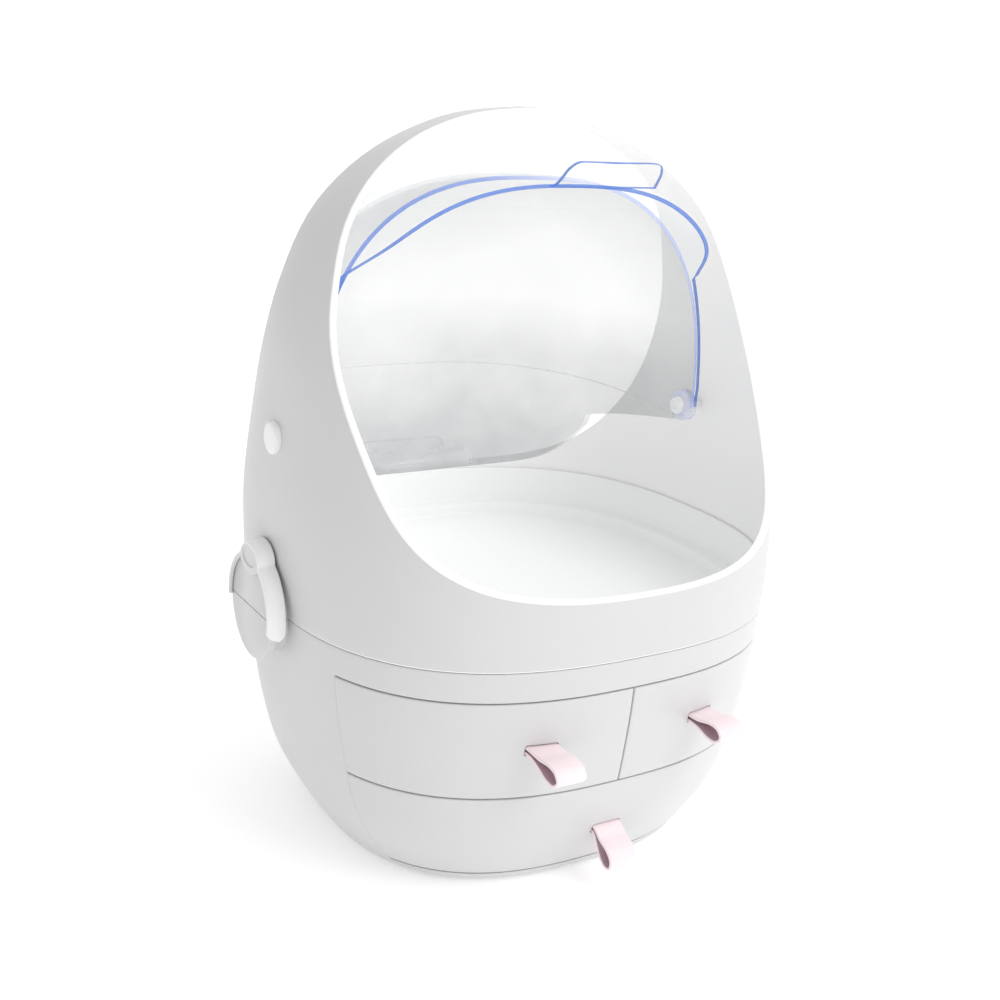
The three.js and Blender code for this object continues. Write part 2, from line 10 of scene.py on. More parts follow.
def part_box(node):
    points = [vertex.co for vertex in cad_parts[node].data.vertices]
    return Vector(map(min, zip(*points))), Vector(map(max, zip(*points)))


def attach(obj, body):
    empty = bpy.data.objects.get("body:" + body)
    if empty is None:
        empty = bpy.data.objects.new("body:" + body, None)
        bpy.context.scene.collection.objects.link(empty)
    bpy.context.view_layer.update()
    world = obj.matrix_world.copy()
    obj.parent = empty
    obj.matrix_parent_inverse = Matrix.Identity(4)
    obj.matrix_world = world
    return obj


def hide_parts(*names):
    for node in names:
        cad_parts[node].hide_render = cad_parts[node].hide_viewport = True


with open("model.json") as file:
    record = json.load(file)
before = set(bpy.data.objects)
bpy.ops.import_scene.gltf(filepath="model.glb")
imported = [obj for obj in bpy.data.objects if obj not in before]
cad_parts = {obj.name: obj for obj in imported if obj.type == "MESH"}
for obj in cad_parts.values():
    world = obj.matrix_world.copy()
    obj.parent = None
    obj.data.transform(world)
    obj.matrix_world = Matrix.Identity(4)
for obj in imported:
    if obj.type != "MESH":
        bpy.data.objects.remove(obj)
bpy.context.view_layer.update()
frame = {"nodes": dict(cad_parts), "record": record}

# Lengths below are in millimetres about the egg's own upright axis; MM turns them into metres
MM = 0.001
joints = {joint["name"]: joint for joint in frame["record"]["behaviour"]["joints"]}
axis_y = joints["front_cover_hinge"]["pos_m"][1] / MM
pivot_z = joints["front_cover_hinge"]["pos_m"][2] / MM
hub_y = joints["lock_clip_left_turn"]["pos_m"][1] / MM - axis_y
hub_z = joints["lock_clip_left_turn"]["pos_m"][2] / MM


def span(node, axis):
    """A CAD node's lowest and highest place along X, Y or Z, about the egg's axis, in millimetres."""
    low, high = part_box(node)
    shift = axis_y if axis == 1 else 0.0
    return low[axis] / MM - shift, high[axis] / MM - shift


def spans(node):
    return [span(node, axis) for axis in range(3)]


egg_height = span("upper_shell", 2)[1]
half_width = 135.0
depth_ratio = 263 / 270
wall = 3.0
# Half of the joint line between two pieces
gap = 0.15
seam_z = span("upper_shell", 2)[0] - gap
foot_z = span("lower_body", 2)[0]
shell_edge, bowl_edge, front_edge, cover_edge = 0.8, 0.5, 0.6, 0.35
outline_steps, rim_steps, cover_steps, strap_steps = 700, 300, 400, 100
sharp_angle, weld_distance = radians(40), 1e-6
smallest = 1e-9

# The egg's outline: half width over the widest half width, at a share of the height
outline_shares = [
    (0.735, 0), (0.88, 0.095), (0.96, 0.238), (0.99, 0.38), (1, 0.476), (0.982, 0.58),
    (0.958, 0.685), (0.905, 0.775), (0.79, 0.868), (0.585, 0.938), (0.3, 0.984), (0, 1),
]
low_squareness, top_squareness = 2.6, 2.0
square_until_share, round_from_share = 0.38, 0.77
front_rim_shares = [
    (0.066, 0.965), (0.15, 0.885), (0.219, 0.803), (0.322, 0.702), (0.515, 0.59),
    (0.7, 0.502), (0.875, 0.448), (1.06, 0.416),
]
rear_rim_shares = [
    (0.09, 0.965), (0.125, 0.9), (0.185, 0.822), (0.265, 0.705), (0.4, 0.59),
    (0.62, 0.492), (0.84, 0.434), (1.06, 0.412),
]


# Curves and the egg's surface
def spline(points, steps):
    """A uniform Catmull-Rom curve through the points."""
    points = np.array(points, float)
    last = len(points) - 1
    at = np.linspace(0, last, steps)
    index = np.minimum(at.astype(int), last - 1)
    t = (at - index)[:, None]
    p0 = points[np.maximum(index - 1, 0)]
    p1, p2 = points[index], points[index + 1]
    p3 = points[np.minimum(index + 2, last)]
    v0, v1 = (p2 - p0) / 2, (p3 - p1) / 2
    return (2 * p1 - 2 * p2 + v0 + v1) * t**3 + (-3 * p1 + 3 * p2 - 2 * v0 - v1) * t**2 + v0 * t + p1


def unit(vectors):
    return vectors / np.linalg.norm(vectors, axis=1)[:, None]


def sideways(curve):
    """The unit vectors to the right of a plane curve's way."""
    way = unit(np.gradient(curve, axis=0))
    return np.stack([way[:, 1], -way[:, 0]], -1)


outline = spline([(wide * half_width, high * egg_height) for wide, high in outline_shares], outline_steps)
outward = sideways(outline)
inset_tables, least_width = {}, 1e-3


def inset_table(inset):
    """Heights, half widths and half depths of the outline moved inwards by an inset."""
    if inset not in inset_tables:
        wide, high = (outline - inset * outward).T
        deep = depth_ratio * outline[:, 0] - inset * outward[:, 0]
        order = np.argsort(high)
        wide, deep = np.maximum(wide, least_width), np.maximum(deep, least_width)
        inset_tables[inset] = high[order], wide[order], deep[order]
    return inset_tables[inset]


def section(z, inset):
    """Half width, half depth and squareness of the egg, moved inwards by an inset, at heights z."""
    high, wide, deep = inset_table(inset)
    share = (z / egg_height - square_until_share) / (round_from_share - square_until_share)
    square = low_squareness + (top_squareness - low_squareness) * np.clip(share, 0, 1)
    return np.interp(z, high, wide), np.interp(z, high, deep), square


def points_at(x, y, z):
    """Points from X, Y and Z, each a number or an array."""
    return np.stack(np.broadcast_arrays(x, y, z), -1)


def egg_point(angle, z, inset=0.0):
    """The egg's surface at an angle about its axis (0 is +X, -90 degrees the front) and a height."""
    angle, z = np.broadcast_arrays(np.asarray(angle, float), np.asarray(z, float))
    wide, deep, square = section(z, inset)
    out = (np.abs(np.cos(angle) / wide) ** square + np.abs(np.sin(angle) / deep) ** square) ** (-1 / square)
    return points_at(out * np.cos(angle), out * np.sin(angle), z)


def reach_at(share, reach, square):
    """How far a section reaches one way, at a share of its reach the other way."""
    return reach * np.maximum(1 - np.abs(share) ** square, smallest) ** (1 / square)


def egg_across(y, z, inset=0.0):
    """The egg's half width at a place in the side view."""
    wide, deep, square = section(z, inset)
    return reach_at(y / deep, wide, square)


def egg_ahead(x, z, inset=0.0):
    """How far forward the egg's surface lies at a place in the front view."""
    wide, deep, square = section(z, inset)
    return reach_at(x / wide, deep, square)


def bisect(low, high, above):
    """Where above(value) changes from True to False between low and high."""
    halvings = 30
    for _ in range(halvings):
        middle = (low + high) / 2
        is_above = above(middle)
        low = np.where(is_above, middle, low)
        high = np.where(is_above, high, middle)
    return (low + high) / 2


# Meshes: a sheet is (points, faces, loops); a shell closes sheets of one kind at several depths
def full_turn(count):
    return np.linspace(0, 2 * pi, count, endpoint=False)


def in_metres(points):
    """Points about the egg's axis in millimetres, as the frame's points in metres."""
    return [tuple(point) for point in (np.asarray(points) + (0, axis_y, 0)) * MM]


def grid_faces(rows, columns, start=0, closed=False):
    faces = []
    for row in range(rows - 1):
        for column in range(columns if closed else columns - 1):
            right = (column + 1) % columns
            a, b = start + row * columns + column, start + row * columns + right
            faces.append((a, b, b + columns, a + columns))
    return faces


def grid_loop(rows, columns):
    top = [(rows - 1) * columns + column for column in range(columns)]
    right = [row * columns + columns - 1 for row in range(1, rows - 1)]
    left = [row * columns for row in range(rows - 2, 0, -1)]
    return list(range(columns)) + right + top[::-1] + left


def grid_sheet(points):
    rows, columns = points.shape[:2]
    return points.reshape(-1, 3), grid_faces(rows, columns), [grid_loop(rows, columns)]


def band_faces(rings):
    """Faces between closed rings of vertex numbers, each ring joined to the next."""
    faces = []
    for outer, inner in zip(rings, rings[1:]):
        for here in range(len(outer)):
            there = (here + 1) % len(outer)
            faces.append((outer[there], outer[here], inner[here], inner[there]))
    return faces


def shell_mesh(sheet, profile, rim_slot=0, inner_slot=0):
    """A closed body between sheet(*profile[0]) and sheet(*profile[-1]), its edges following the profile."""
    layers = [sheet(*depth) for depth in profile]
    points = [layers[0][0], layers[-1][0]]
    inner_start = len(points[0])
    total = inner_start + len(points[1])
    faces = [tuple(face) for face in layers[0][1]]
    slots = [0] * len(faces)
    faces += [tuple(inner_start + vertex for vertex in face[::-1]) for face in layers[-1][1]]
    slots += [inner_slot] * (len(faces) - len(slots))
    for number, first_loop in enumerate(layers[0][2]):
        rings = [list(first_loop)]
        for points_between, _, loops in layers[1:-1]:
            loop = loops[number]
            points.append(points_between[loop])
            rings.append(list(range(total, total + len(loop))))
            total += len(loop)
        rings.append([inner_start + vertex for vertex in layers[-1][2][number]])
        faces += band_faces(rings)
        slots += [rim_slot] * (len(faces) - len(slots))
    return np.concatenate(points), faces, slots


edge_turns = np.radians([0, 30, 60, 90])


def rounded_profile(thickness, radius):
    """Depths and edge offsets from one face over a rounded edge to the other face."""
    turns = [(1 - cos(turn), 1 - sin(turn)) for turn in edge_turns]
    near = [(radius * inward, radius * aside) for inward, aside in turns]
    return near + [(thickness - inward, aside) for inward, aside in near[::-1]]


def add_object(name, data):
    thing = bpy.data.objects.new(name, data)
    bpy.context.scene.collection.objects.link(thing)
    return thing


def make(name, points, faces, material, body="root", node=None, slot=None, slots=None):
    """A piece from points in millimetres, with outward faces, smooth shading and its place in the frame."""
    mesh = bpy.data.meshes.new(name)
    mesh.from_pydata(in_metres(points), [], faces)
    mesh.validate()
    materials = material if isinstance(material, (list, tuple)) else [material]
    for one in materials:
        mesh.materials.append(one)
    if slots is not None and len(slots) == len(mesh.polygons):
        mesh.polygons.foreach_set("material_index", slots)
    work = bmesh.new()
    work.from_mesh(mesh)
    bmesh.ops.remove_doubles(work, verts=work.verts, dist=weld_distance)
    bmesh.ops.recalc_face_normals(work, faces=work.faces)
    for edge in work.edges:
        edge.smooth = len(edge.link_faces) == 2 and edge.calc_face_angle(0.0) < sharp_angle
    for face in work.faces:
        face.smooth = True
    work.to_mesh(mesh)
    work.free()
    piece = add_object(name, mesh)
    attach(piece, body)
    if node:
        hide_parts(*([node] if isinstance(node, str) else node))
    return piece


def stack_mesh(rings, closed=True):
    """Rings of equal point counts joined in a row, with both ends filled by a fan to their middles."""
    count = len(rings[0])
    points = np.concatenate(rings)
    faces = grid_faces(len(rings), count, closed=closed)
    for ring, start in ((rings[0], 0), (rings[-1], len(points) - count)):
        middle = len(points)
        points = np.concatenate([points, ring.mean(axis=0)[None]])
        faces += [(start + here, start + (here + 1) % count, middle) for here in range(count)]
    return points, faces


def turned(profile, sides, centre_y, centre_z, mirror=1):
    """Rings of a body turned about an X axis from a profile of (radius, x)."""
    angle = full_turn(sides)
    return [
        points_at(mirror * x, centre_y + out * np.cos(angle), centre_z + out * np.sin(angle))
        for out, x in profile
    ]


# Materials: colours are given in pairs that a slow noise blends, lengths in metres
moulded_ior, acrylic_ior = 1.5, 1.49
grain_depth, leather_depth = 0.0002, 0.0003


class Shading:
    """The nodes of a material or world. put() gives a socket a number, a colour or another node's output."""

    def __init__(self, owner, shader="Principled BSDF"):
        owner.use_nodes = True
        self.owner, self.nodes, self.links = owner, owner.node_tree.nodes, owner.node_tree.links
        self.shader = self.nodes[shader]

    def put(self, name, value, node=None):
        socket = (node or self.shader).inputs[name]
        if isinstance(value, bpy.types.NodeSocket):
            self.links.new(value, socket)
        else:
            socket.default_value = value

    def node(self, kind, **inputs):
        """A new node with its inputs, whose names have a low line for each space."""
        node = self.nodes.new("ShaderNode" + kind)
        for name, value in inputs.items():
            self.put(name.replace("_", " "), value, node)
        return node

    def noise(self, scale, detail=4.0):
        place = self.node("TexCoord").outputs["Object"]
        return self.node("TexNoise", Vector=place, Scale=scale, Detail=detail).outputs["Fac"]

    def ramp(self, value, low, high, start=0.3, end=0.7):
        """A value between low and high as the input goes from start to end."""
        spread = self.node("MapRange", Value=value, From_Min=start, From_Max=end, To_Min=low, To_Max=high)
        return spread.outputs["Result"]

    def tint(self, value, first, second):
        mixed = self.nodes.new("ShaderNodeMix")
        mixed.data_type = "RGBA"
        for name, setting in (("Factor", value), ("A", (*first, 1)), ("B", (*second, 1))):
            self.put(name, setting, mixed)
        return mixed.outputs["Result"]

    def arithmetic(self, operation, first, second):
        result = self.nodes.new("ShaderNodeMath")
        result.operation = operation
        self.put(0, first, result)
        self.put(1, second, result)
        return result.outputs["Value"]

    def colour(self, scale, first, second):
        self.put("Base Color", self.tint(self.noise(scale), first, second))

    def gloss(self, scale, low, high):
        self.put("Roughness", self.ramp(self.noise(scale), low, high))

    def bump(self, value, strength, depth):
        bumps = self.node("Bump", Height=value, Strength=strength, Distance=depth)
        self.put("Normal", bumps.outputs["Normal"])

    def along(self, axis, low, high, start, end, coordinate="Object"):
        """A value from low to high between two places along X, Y or Z."""
        place = self.node("TexCoord").outputs[coordinate]
        return self.ramp(self.node("SeparateXYZ", Vector=place).outputs[axis], low, high, start, end)

    def seen_edge_on(self, face_value, edge_value):
        """One value where a sheet is seen face on, another where it is seen edge on."""
        blend, face_until, edge_from = 0.35, 0.2, 1.0
        glance = self.node("LayerWeight", Blend=blend).outputs["Facing"]
        return self.ramp(glance, face_value, edge_value, face_until, edge_from)

    def polish(self, roughness):
        """The slightly uneven gloss of polished acrylic."""
        gloss_scale = 25
        self.gloss(gloss_scale, roughness, roughness * 2)
        self.put("IOR", acrylic_ior)


def moulded_plastic(name, first, second, low_rough, high_rough, grain, strength):
    """Satin moulded plastic: slow colour drift, uneven gloss and a fine spark-eroded grain."""
    drift_scale, gloss_scale, grain_detail = 9, 30, 2
    skin = Shading(bpy.data.materials.new(name))
    skin.colour(drift_scale, first, second)
    skin.gloss(gloss_scale, low_rough, high_rough)
    skin.bump(skin.noise(grain, grain_detail), strength, grain_depth)
    skin.put("IOR", moulded_ior)
    return skin.owner


# white_inside_painted_light is a brighter copy of the white plastic for the dome's inner faces and rim, and
# white the darker copy outside: painted light inside, painted shade outside
white = moulded_plastic("white_plastic", (0.66, 0.66, 0.665), (0.69, 0.69, 0.69), 0.34, 0.44, 900, 0.05)
white_inside_painted_light = moulded_plastic("white_inside_painted_light", (0.95, 0.95, 0.955), (0.97, 0.97, 0.97), 0.36, 0.46, 900, 0.05)
clip_white = moulded_plastic("clip_plastic", (0.68, 0.68, 0.685), (0.71, 0.71, 0.71), 0.3, 0.4, 900, 0.04)
# clip_side_painted_light is a brighter copy of the clip plastic for the clips' outer walls and the pivot
# caps: painted light
clip_side_painted_light = moulded_plastic("clip_side_painted_light", (0.9, 0.9, 0.905), (0.93, 0.93, 0.93), 0.26, 0.36, 900, 0.04)
tray_white = moulded_plastic("tray_plastic", (0.955, 0.96, 0.96), (0.975, 0.98, 0.98), 0.3, 0.4, 900, 0.04)
inner_white = moulded_plastic("inner_plastic", (0.78, 0.78, 0.785), (0.82, 0.82, 0.82), 0.45, 0.6, 1200, 0.1)
rubber = moulded_plastic("foot_rubber", (0.45, 0.45, 0.45), (0.52, 0.52, 0.52), 0.7, 0.85, 1500, 0.3)


def clear_plastic(name, colour, face_alpha, edge_alpha, roughness):
    """Clear polished plastic: see-through face on, denser where it is seen edge on."""
    drift_scale, lighter = 7, 1.03
    skin = Shading(bpy.data.materials.new(name))
    skin.put("Alpha", skin.seen_edge_on(face_alpha, edge_alpha))
    skin.colour(drift_scale, colour, tuple(min(1, level * lighter) for level in colour))
    skin.polish(roughness)
    return skin.owner


def clear_with_painted_shade(name, first, second, face_alpha, edge_alpha, painted_shade_alpha, roughness):
    """Clear plastic with a faint uneven grey layer that grows towards its low edge: painted shade."""
    painted_shade_low_z, painted_shade_high_z, least_painted_shade = 0.165, 0.265, 0.04
    drift_scale, cloud_scale, cloud_detail, thin, thick = 11, 16, 5, 0.65, 1.2
    skin = Shading(bpy.data.materials.new(name))
    see = skin.seen_edge_on(face_alpha, edge_alpha)
    depth = skin.along("Z", painted_shade_alpha, least_painted_shade, painted_shade_low_z, painted_shade_high_z)
    cloud = skin.ramp(skin.noise(cloud_scale, cloud_detail), thin, thick)
    painted_shade = skin.arithmetic("MULTIPLY", depth, cloud)
    skin.put("Alpha", skin.arithmetic("ADD", see, painted_shade))
    skin.colour(drift_scale, first, second)
    skin.polish(roughness)
    return skin.owner


def edge_with_painted_light(name, deep, pale, deep_x, pale_x, roughness):
    """A clear sheet's edge: deep blue on one side of the object, pale on the other, where the light is
    brighter: painted light.
    """
    deep_alpha, pale_alpha = 0.95, 0.6
    skin = Shading(bpy.data.materials.new(name))
    skin.put("Base Color", skin.tint(skin.along("X", 0, 1, deep_x, pale_x), deep, pale))
    skin.put("Alpha", skin.along("X", deep_alpha, pale_alpha, deep_x, pale_x))
    skin.polish(roughness)
    return skin.owner


clear = clear_plastic("clear_plastic", (0.88, 0.9, 0.92), 0.04, 0.36, 0.04)
# The rear cover's grey layer, denser towards its low edge, is painted shade
clear_painted_shade = clear_with_painted_shade("clear_painted_shade", (0.34, 0.35, 0.36), (0.42, 0.43, 0.44), 0.07, 0.3, 0.42, 0.04)
clear_edge = clear_plastic("clear_edge", (0.07, 0.19, 0.62), 0.85, 1.0, 0.1)
# The rear cover's edge is painted paler on the right, where the light is brighter
clear_edge_painted_light = edge_with_painted_light("clear_edge_painted_light", (0.07, 0.18, 0.62), (0.42, 0.52, 0.9), -0.03, 0.03, 0.1)
clear_rim = clear_plastic("clear_rim", (0.96, 0.96, 0.98), 0.5, 0.9, 0.08)
clear_boss = clear_plastic("clear_boss", (0.74, 0.76, 0.92), 0.3, 0.75, 0.05)
clear_pin = clear_plastic("clear_pin", (0.96, 0.97, 0.98), 0.75, 1.0, 0.05)


def soft_strap(name, first, second):
    """Smooth pink strap: a slight mottle, a leathery grain and a soft sheen."""
    mottle_scale, gloss_scale, low_rough, high_rough = 60, 200, 0.48, 0.62
    grain_scale, grain_detail, grain_strength, sheen = 1400, 3, 0.12, 0.15
    skin = Shading(bpy.data.materials.new(name))
    skin.colour(mottle_scale, first, second)
    skin.gloss(gloss_scale, low_rough, high_rough)
    skin.bump(skin.noise(grain_scale, grain_detail), grain_strength, leather_depth)
    skin.put("Sheen Weight", sheen)
    return skin.owner


strap_pink = soft_strap("strap_pink", (0.95, 0.79, 0.825), (0.99, 0.86, 0.885))
# The darker mauve strap colour is painted shade for the inside of the loop
strap_inside_painted_shade = soft_strap("strap_inside_painted_shade", (0.555, 0.395, 0.445), (0.615, 0.445, 0.505))


# Upper shell: a ring above the seam, and an arch of two arms and the strip over the top
def rim_table(shares, side, offset):
    """The rim in the side view, moved into the wall by an offset, from its low end to its high end."""
    places = [(side * out * half_width * depth_ratio, high * egg_height) for out, high in shares]
    curve, over_top = spline(places, rim_steps), 10 * wall
    curve = np.vstack([[curve[0, 0], egg_height + over_top], curve])
    return (curve + side * sideways(curve) * offset)[::-1]


arch_z = 200.0
ring_rows, rim_columns, side_columns, arch_rows = 14, 34, 26, 72


def rim_y(table, z):
    return np.interp(z, table[:, 1], table[:, 0])


def upper_sheet(inset, offset):
    """The dome's skin at an inset, with its three edges drawn in by an offset."""
    front = rim_table(front_rim_shares, -1, offset)
    rear = rim_table(rear_rim_shares, 1, offset)
    low = seam_z + gap + offset
    y_front, y_rear = rim_y(front, arch_z), rim_y(rear, arch_z)
    junction_y = np.linspace(y_front, y_rear, side_columns)
    junction = np.arctan2(junction_y, egg_across(junction_y, arch_z, inset))
    # The ring's columns, from the front middle by the right side to the rear middle, then mirrored
    front_angles = np.linspace(-pi / 2, junction[0], rim_columns)[:-1]
    rear_angles = np.linspace(junction[-1], pi / 2, rim_columns)[1:]

    def top(turns, rim, side):
        """Where the skin meets a rim between the seam and the arch's foot."""
        return bisect(low, arch_z,
                      lambda z: side * egg_point(turns, z, inset)[..., 1] < side * rim_y(rim, z))

    angles = np.concatenate([front_angles, junction, rear_angles])
    level = np.full(side_columns, arch_z)
    tops = np.concatenate([top(front_angles, front, -1), level, top(rear_angles, rear, 1)])
    angles = np.concatenate([angles, pi - angles[-2:0:-1]])
    tops = np.concatenate([tops, tops[-2:0:-1]])
    columns = len(angles)
    share = np.linspace(0, 1, ring_rows)[:, None]
    ring = egg_point(np.broadcast_to(angles, (ring_rows, columns)), low + (tops - low) * share, inset)
    points = [ring.reshape(-1, 3)]
    faces = grid_faces(ring_rows, columns, closed=True)
    top_row = (ring_rows - 1) * columns
    first_right = rim_columns - 1
    right = [top_row + first_right + k for k in range(side_columns)]
    left = [top_row + (columns - first_right - k) % columns for k in range(side_columns)]
    # The arch, in rays about (0, y, arch_z): from the right junction over the top to the left one
    turn = np.linspace(pi / 2, -pi / 2, arch_rows)[1:-1]
    beyond_share, within_share = 1.5, 0.96

    def place(y):
        turns = turn[:, None] if np.ndim(y) == 2 else turn
        across, up = np.sin(turns), np.cos(turns)
        out = bisect(0, half_width * beyond_share,
                     lambda r: r * np.abs(across) < egg_across_safe(y, arch_z + r * up, inset))
        return points_at(out * across, y, arch_z + out * up)

    far = half_width * within_share
    y_low = bisect(-far, 0, lambda y: y < rim_y(front, place(y)[..., 2]))
    y_high = bisect(0, far, lambda y: y < rim_y(rear, place(y)[..., 2]))
    arch = place(y_low[:, None] + (y_high - y_low)[:, None] * np.linspace(0, 1, side_columns))
    start = len(points[0])
    points.append(np.concatenate(arch))
    starts = [start + row * side_columns for row in range(len(arch))]
    lanes = [right] + [list(range(first, first + side_columns)) for first in starts] + [left]
    for near, far in zip(lanes, lanes[1:]):
        for k in range(side_columns - 1):
            faces.append((near[k], near[k + 1], far[k + 1], far[k]))
    seam_loop = list(range(columns))
    front_loop = [top_row + k for k in range(first_right)] + [lane[0] for lane in lanes]
    front_loop += [top_row + columns - k for k in range(first_right - 1, 0, -1)]
    rear_columns = range(first_right + side_columns, columns - first_right - side_columns + 1)
    rear_loop = [top_row + k for k in rear_columns] + [lane[-1] for lane in lanes[::-1]]
    return np.concatenate(points), faces, [seam_loop, front_loop, rear_loop]


def egg_across_safe(y, z, inset):
    """As egg_across, but below zero above the egg's top and beyond its depth."""
    inside = (np.abs(y) < section(z, inset)[1]) & (z < egg_height - inset)
    return np.where(inside, egg_across(y, z, inset), -1.0)


def upper_shell():
    # The inner faces and the rim (slot 1) take the brighter copy of the white plastic: painted light inside
    # the dome
    points, faces, slots = shell_mesh(upper_sheet, rounded_profile(wall, shell_edge), 1, 1)
    make("dome_shell", points, faces, [white, white_inside_painted_light], node="upper_shell", slot="shell", slots=slots)


# Lower body: a bowl with the band above the drawers, cut back to the drawers' plane
face_y = span("drawer_front_lower", 1)[1]
zone_margin = 0.8
zone_low = span("drawer_front_lower", 2)[0] - zone_margin
zone_high = span("drawer_front_upper_left", 2)[1] + zone_margin


def lower_sheet(inset, offset):
    """The bowl's skin at an inset, with its foot, seam and drawer opening drawn in by an offset."""
    foot_rows, zone_rows, band_rows, back_columns, front_columns = 4, 30, 6, 90, 48
    levels = [
        np.linspace(foot_z + offset, zone_low - offset, foot_rows),
        np.linspace(zone_low - offset, zone_high + offset, zone_rows)[1:],
        np.linspace(zone_high + offset, seam_z - gap - offset, band_rows)[1:],
    ]
    heights = np.concatenate(levels)
    cut_y = face_y + offset
    cut = np.arctan2(cut_y, egg_across(cut_y, heights, inset))
    back_share, front_share = np.linspace(0, 1, back_columns), np.linspace(0, 1, front_columns)[1:-1]
    back = cut[:, None] + (pi - 2 * cut)[:, None] * back_share
    front = (-pi - cut)[:, None] + (2 * cut + pi)[:, None] * front_share
    angles = np.concatenate([back, front], axis=1)
    columns, backs = angles.shape[1], back.shape[1]
    points = egg_point(angles, np.broadcast_to(heights[:, None], angles.shape), inset).reshape(-1, 3)
    zone_first, zone_last = foot_rows - 1, foot_rows + zone_rows - 2
    faces = [
        face for face in grid_faces(len(heights), columns, closed=True)
        if not zone_first <= min(face) // columns < zone_last or face[0] % columns < backs - 1
    ]
    used = sorted({vertex for face in faces for vertex in face})
    number = {vertex: index for index, vertex in enumerate(used)}
    faces = [tuple(number[vertex] for vertex in face) for face in faces]
    bottom, top = zone_first * columns, zone_last * columns
    sill = [bottom + k for k in range(backs - 1, columns)] + [bottom]
    lintel = [top] + [top + k for k in range(columns - 1, backs - 2, -1)]
    right = [row * columns for row in range(zone_first + 1, zone_last)]
    left = [row * columns + backs - 1 for row in range(zone_last - 1, zone_first, -1)]
    hole = [number[vertex] for vertex in sill + right + lintel + left]
    last = (len(heights) - 1) * columns
    seam_loop = [number[last + k] for k in range(columns)]
    foot_loop = [number[k] for k in range(columns)]
    return points[used], faces, [foot_loop, seam_loop, hole]


around_steps = 120


def lower_body():
    points, faces, _ = shell_mesh(lower_sheet, rounded_profile(wall, bowl_edge))
    make("bowl_shell", points, faces, white, node="lower_body", slot="shell")
    deck_low, deck_high = 119.2, 121.8
    angle = full_turn(around_steps)
    rings = [egg_point(angle, deck_low, wall), egg_point(angle, deck_high, wall)]
    make("deck", *stack_mesh(rings), inner_white, node="lower_body", slot="shell")


# Tray: an upright rim, a ledge and a sunken floor
def tray():
    low, rim = span("tray", 2)
    outside, rim_wall, ledge_wide = 3.3, 2.0, 8.0
    floor, ledge = 124.5, 132.0
    inside, basin = outside + rim_wall, outside + rim_wall + ledge_wide
    levels = [
        (outside + 1, low), (outside + 0.3, low + 0.3), (outside, low + 1), (outside, rim - 0.9),
        (outside + 0.25, rim - 0.25), (outside + 0.8, rim), (inside - 0.8, rim), (inside - 0.25, rim - 0.25),
        (inside, rim - 0.9), (inside, ledge + 2.4), (inside + 0.4, ledge + 1), (inside + 1.2, ledge + 0.25),
        (inside + 2.4, ledge), (basin - 1, ledge), (basin - 0.3, ledge - 0.3), (basin, ledge - 1),
        (basin, floor + 2.4), (basin + 0.5, floor + 0.9), (basin + 1.4, floor + 0.2), (basin + 3, floor),
    ]
    tray_steps, floor_shares = 160, (0.6, 0.3, 0.1)
    rings = [egg_point(full_turn(tray_steps), high, inset) for inset, high in levels]
    middle = rings[-1].mean(axis=0)
    rings += [middle + (rings[-1] - middle) * share for share in floor_shares]
    make("tray_liner", *stack_mesh(rings), tray_white, node="tray", slot="tray")


# Drawers: a curved front with a slot, a tub and a strap
strap_wide, strap_thick, strap_high = 16.0, 1.6, 10.0
strap_corner, corner_steps = 0.5, 4
# A strap's two layers stand this far apart at the slot, and clear the skin and its back by these
strap_spread, skin_clear, back_clear = 1.2, 0.6, 0.3
front_wall = 2.6


def front_sheet(node, left_open, right_open):
    """The front's face between its side edges, its top and its bottom."""
    (low_x, high_x), _, (low, high) = spans(node)
    rows, columns = 26, 64

    def sheet(inset, offset):
        heights = np.linspace(low + offset, high - offset, rows)
        open_across, open_y = egg_across(face_y - offset, heights, inset), np.full(rows, face_y - offset)
        left = -open_across if left_open else np.full(rows, low_x + offset)
        right = open_across if right_open else np.full(rows, high_x - offset)
        left_y = open_y if left_open else -egg_ahead(left, heights, inset)
        right_y = open_y if right_open else -egg_ahead(right, heights, inset)
        first, last = np.arctan2(left_y, left), np.arctan2(right_y, right)
        angles = first[:, None] + (last - first)[:, None] * np.linspace(0, 1, columns)
        return grid_sheet(egg_point(angles, heights[:, None], inset))

    return sheet


def drawer_front(name, left_open, right_open, pull_x, pull_z):
    """A curved front with rounded edges, a flat back and the slot for its strap."""
    node = f"drawer_front_{name}"
    sheet = front_sheet(node, left_open, right_open)
    layers = [sheet(*depth) for depth in rounded_profile(wall, front_edge)[:len(edge_turns)]]
    points, faces, (loop,) = layers[0]
    edges = [layer[0][loop] for layer in layers[1:]]
    edges.append(edges[-1] * (1, 0, 1) + (0, face_y + gap, 0))
    rings = [loop]
    for number in range(len(edges)):
        start = len(points) + number * len(loop)
        rings.append(list(range(start, start + len(loop))))
    points = np.concatenate([points, *edges])
    faces = faces + band_faces(rings) + [tuple(rings[-1])]
    front = make(f"front_{name}", points, faces, white, f"drawer_{name}", node, "shell")
    slot_half_wide, slot_half_high = strap_wide / 2 + 0.3, strap_thick * 1.5 + 0.6
    slot_corner, cut_ahead, cut_behind = 1.0, 10.0, 8.0
    fore, rear = strap_span(pull_x, pull_z)
    ring = rounded_rectangle(pull_x - slot_half_wide, pull_x + slot_half_wide,
                             pull_z - slot_half_high, pull_z + slot_half_high, slot_corner, corner_steps)
    ends = (fore - cut_ahead, rear + cut_behind)
    rings = [points_at(ring[:, 0], y, ring[:, 1]) for y in ends]
    cut_out(front, *stack_mesh(rings))


